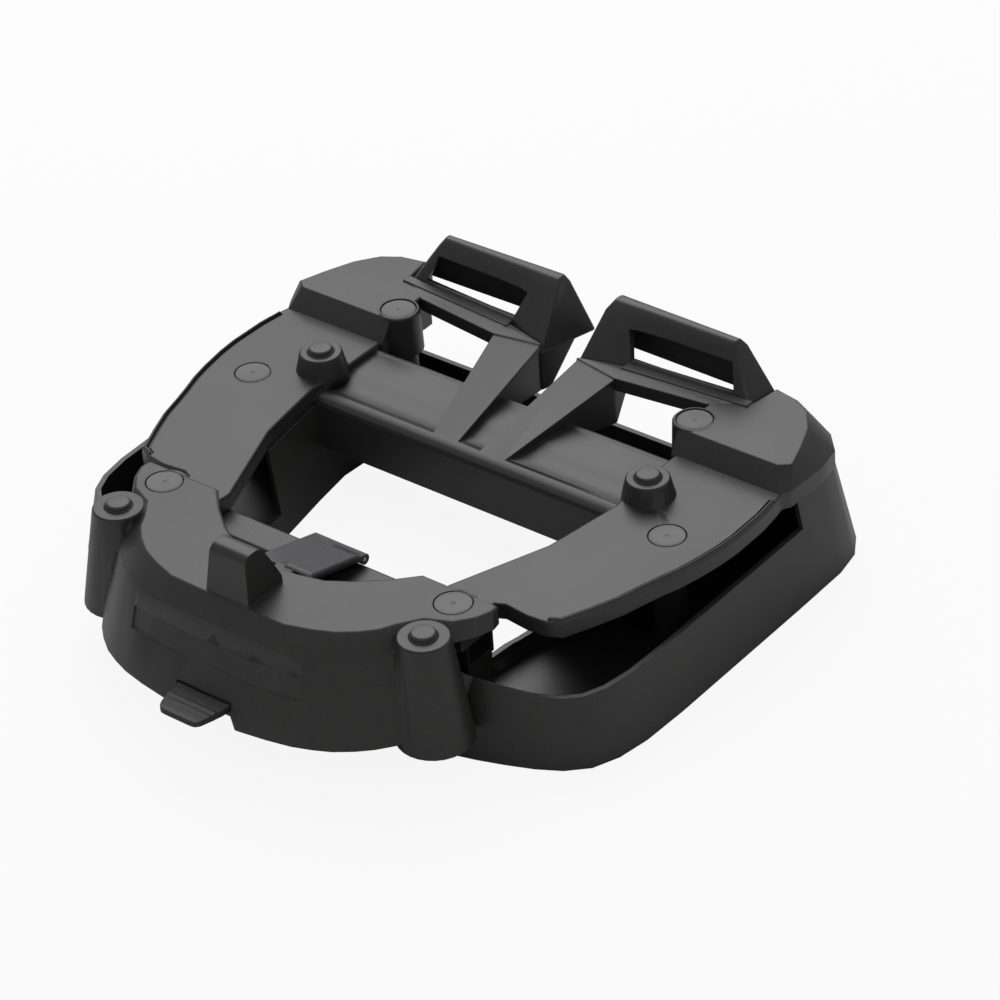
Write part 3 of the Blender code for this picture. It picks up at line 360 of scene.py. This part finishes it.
# The retaining strap is a satin moulding hinged on its pin.  A ribbed skin covers it from the front
# edge to the knuckle: its left part lies low, its right part is raised and rolls over the side.
# Points of the skin's path are (y, z).
SKIN_FRONT, PIN_POINT, KNUCKLE_RADIUS = (-0.0885, 0.0682), (-0.0485, 0.0548), 0.0029
KNUCKLE_FROM, KNUCKLE_TO, KNUCKLE_ROWS, STRAIGHT_ROWS = 88.0, 70.0, 4, 40
LIP_OUT, LIP_FOOT, LIP_BEND = 0.0001, 0.0020, 0.0006
SKIN_OFF, SKIN_LOW, SKIN_RISE = 0.00004, 0.00008, 0.0009
STEP_X, STEP_WIDTH = -0.0006, 0.0009
RIB_HEIGHT, RIB_PITCH, RIB_MARGIN = 0.00004, 0.0022, 0.003
ROLL_FROM, ROLL_PAST, ROLL_WIDTH, ROLL_DROP, ROLL_FIRST_TURN = 0.0022, 0.0003, 0.0025, 0.0020, 0.1
FLAT_COLUMNS, ROLL_COLUMNS = 130, 10
FRONT_FADE_ROWS, REAR_FADE_ROWS, REAR_LOW_ROWS = 3.0, 4.0, 6
strap_finish = grained("strap_plastic", (0.030, 0.028, 0.033), 0.44, 0.20)
moulded_copy("strap_moulding", "retaining_strap", "strap", strap_finish)


def ribbed_skin(half_width):
    """A band P(s, x) = path(s) + n(s) (c + (h(x) - c) e(s)), with n square to the path.

    The path rises up the front edge, runs straight to the knuckle and follows it a little way.  The
    height h steps up smoothly at the middle, as 3 t^2 - 2 t^3, waves by the fine ribs, and falls as
    a quarter circle past the right edge.  The fade e brings it down to c at both ends.
    """
    turn = np.radians(np.linspace(KNUCKLE_FROM, KNUCKLE_TO, KNUCKLE_ROWS))
    knuckle = np.stack([PIN_POINT[0] + KNUCKLE_RADIUS * np.cos(turn),
                        PIN_POINT[1] + KNUCKLE_RADIUS * np.sin(turn)], axis=1)
    front = np.array(SKIN_FRONT)
    straight = front + np.linspace(0.0, 1.0, STRAIGHT_ROWS)[:, None] * (knuckle[0] - front)
    lip = np.array([[front[0] - LIP_OUT, front[1] - LIP_FOOT], [front[0] - LIP_OUT, front[1] - LIP_BEND]])
    path = np.concatenate([lip, straight[1:], knuckle[1:]])
    ahead = np.gradient(path, axis=0)
    ahead /= np.linalg.norm(ahead, axis=1)[:, None]
    square = np.stack([-ahead[:, 1], ahead[:, 0]], axis=1)
    rolled = np.cos(np.linspace(ROLL_FIRST_TURN, pi / 2.0, ROLL_COLUMNS))
    x = np.concatenate([np.linspace(-half_width, half_width - ROLL_FROM, FLAT_COLUMNS),
                        half_width + ROLL_PAST - ROLL_WIDTH * rolled])
    step = np.clip((x - STEP_X) / STEP_WIDTH, 0.0, 1.0)
    h = SKIN_LOW + SKIN_RISE * step * step * (3.0 - 2.0 * step)
    h += RIB_HEIGHT * np.cos(2.0 * pi * x / RIB_PITCH) * (np.abs(x) < half_width - RIB_MARGIN)
    past = np.clip((x - half_width + ROLL_FROM) / ROLL_WIDTH, 0.0, 1.0)
    h -= ROLL_DROP * (1.0 - np.sqrt(1.0 - past * past))
    row = np.arange(len(path))
    fade = np.clip(row / FRONT_FADE_ROWS, 0.0, 1.0)
    fade = fade * np.clip((len(path) - REAR_LOW_ROWS - row) / REAR_FADE_ROWS, 0.0, 1.0)
    h = SKIN_OFF + (h[None, :] - SKIN_OFF) * fade[:, None]
    return np.stack([x[None, :] + 0.0 * h, path[:, :1] + square[:, :1] * h, path[:, 1:] + square[:, 1:] * h],
                    axis=-1)


strap_low, strap_high = [np.array(corner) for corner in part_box("retaining_strap")]
skin_points = ribbed_skin((strap_high[0] - strap_low[0]) / 2.0)
finished("strap_skin", skin_points, "strap", strap_finish, closed=False)


# The release tab is a short sprung slide: flat where it enters the nose, with a rounded end that
# rolls down at the front and three low ribs for the thumb.
TAB_THICKNESS, TAB_CORNER = 0.0037, 0.12
TAB_PLAN = ((0.0, 0.0070), (0.0006, 0.0094), (0.0012, 0.0110), (0.0030, 0.0127), (0.0050, 0.0135),
            (0.0100, 0.0151), (0.0150, 0.0164), (0.0200, 0.0170), (0.0400, 0.0170))
FRONT_ROUND, REAR_ROUND, BODY_FROM, REAR_FIRST = 0.0018, 0.0006, 0.0024, 0.0001
FRONT_ROWS, BODY_ROWS, REAR_ROWS = 9, 60, 4
TAB_ROLL_DROP, TAB_ROLL_LENGTH = 0.0010, 0.016
THUMB_RIB_HEIGHT, THUMB_RIB_PITCH, THUMB_RIB_FIRST = 0.00028, 0.0035, 0.0049
THUMB_RIBS_FROM, THUMB_RIBS_TO = 0.0035, 0.0130
tab_finish = grained("tab_plastic", (0.016, 0.0165, 0.016), 0.46, 0.25)
low, high = [np.array(corner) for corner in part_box("release_tab")]
length = high[1] - low[1]


def rounded_end(distance, radius):
    """A quarter circle's share of the full height, sqrt(1 - (1 - d / r)^2), and 1 further in."""
    return np.sqrt(np.clip(1.0 - np.clip(1.0 - distance / radius, 0.0, 1.0) ** 2, 0.0, 1.0))


def squared(wave):
    """A cosine or a sine with its size raised to a small power, which makes a circle nearly square."""
    return np.sign(wave) * np.abs(wave) ** TAB_CORNER


# The tab is P(s, v) = (w(s) C(v), y + s, m(s) + t(s) S(v)), with s from its front edge, v round it,
# w its half width from the plan above, m and t its middle and half height, and C and S squared waves.
s = np.concatenate([np.linspace(0.0, FRONT_ROUND, FRONT_ROWS),
                    np.linspace(BODY_FROM, length - REAR_ROUND, BODY_ROWS),
                    length - REAR_ROUND + np.linspace(REAR_FIRST, REAR_ROUND, REAR_ROWS)])
half_width = np.interp(s, *zip(*TAB_PLAN))
roll = TAB_ROLL_DROP * np.clip(1.0 - s / TAB_ROLL_LENGTH, 0.0, 1.0) ** 2
ribs = THUMB_RIB_HEIGHT * np.clip(np.cos((s - THUMB_RIB_FIRST) * 2.0 * pi / THUMB_RIB_PITCH), 0.0, 1.0)
ribs *= (s > THUMB_RIBS_FROM) & (s < THUMB_RIBS_TO)
top = low[2] + TAB_THICKNESS - roll + ribs
middle = (top + low[2]) / 2.0
half_height = (top - low[2]) / 2.0 * (rounded_end(s, FRONT_ROUND) * rounded_end(length - s, REAR_ROUND))
v = np.linspace(0.0, 2.0 * pi, ROUND_SIDES, endpoint=False)
tab_points = np.stack([half_width[:, None] * squared(np.cos(v)), (low[1] + s)[:, None] + 0.0 * v,
                       middle[:, None] + half_height[:, None] * squared(np.sin(v))], axis=-1)
tab = finished("thumb_tab", tab_points, "tab", tab_finish)
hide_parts("release_tab")
